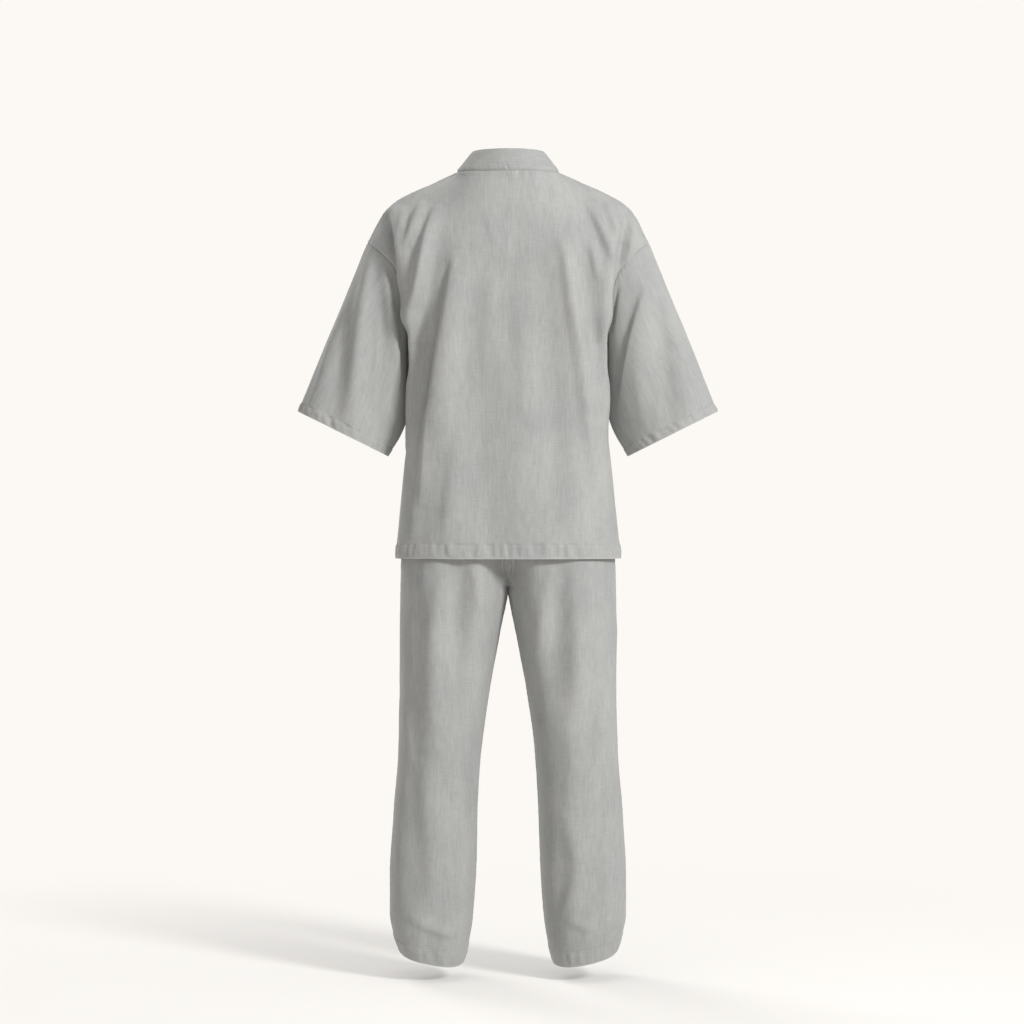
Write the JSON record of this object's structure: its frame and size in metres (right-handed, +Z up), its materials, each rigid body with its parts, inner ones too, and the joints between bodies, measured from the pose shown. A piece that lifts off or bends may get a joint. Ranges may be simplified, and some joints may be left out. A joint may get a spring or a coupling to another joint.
{
  "type": "kimono pyjama set",
  "caption": "Wrap pyjama top with a band collar, wide half sleeves and a side tie, with straight elastic-waist trousers, hollow and standing as worn.",
  "frame": {"origin": "middle of the neck opening, level with the side neck points, where the wearer's shoulders carry the top", "axes": "+Z up as worn, +X towards the wearer's left, +Y towards the wearer's back, so the garment faces -Y"},
  "size_m": [0.8098, 0.2731, 1.5605],
  "materials": {
    "chambray": "matte cotton chambray, light grey, with slubs",
    "band": "the same cotton, doubled and topstitched",
    "tape": "the same cotton, folded and stitched flat"
  },
  "bodies": {
    "root": {"back_left": "chambray", "back_right": "chambray", "front_left": "chambray", "front_right": "chambray", "sleeve_left": "chambray", "sleeve_right": "chambray", "trouser_back_left": "chambray", "trouser_back_right": "chambray", "trouser_front_left": "chambray", "trouser_front_right": "chambray", "collar": "band", "waistband": "band", "tie_left": "tape", "tie_right": "tape", "tie_knot": "tape", "bow_loop_inner": "tape", "bow_loop_outer": "tape", "tie_end_inner": "tape", "tie_end_outer": "tape"}
  },
  "joints": []
}
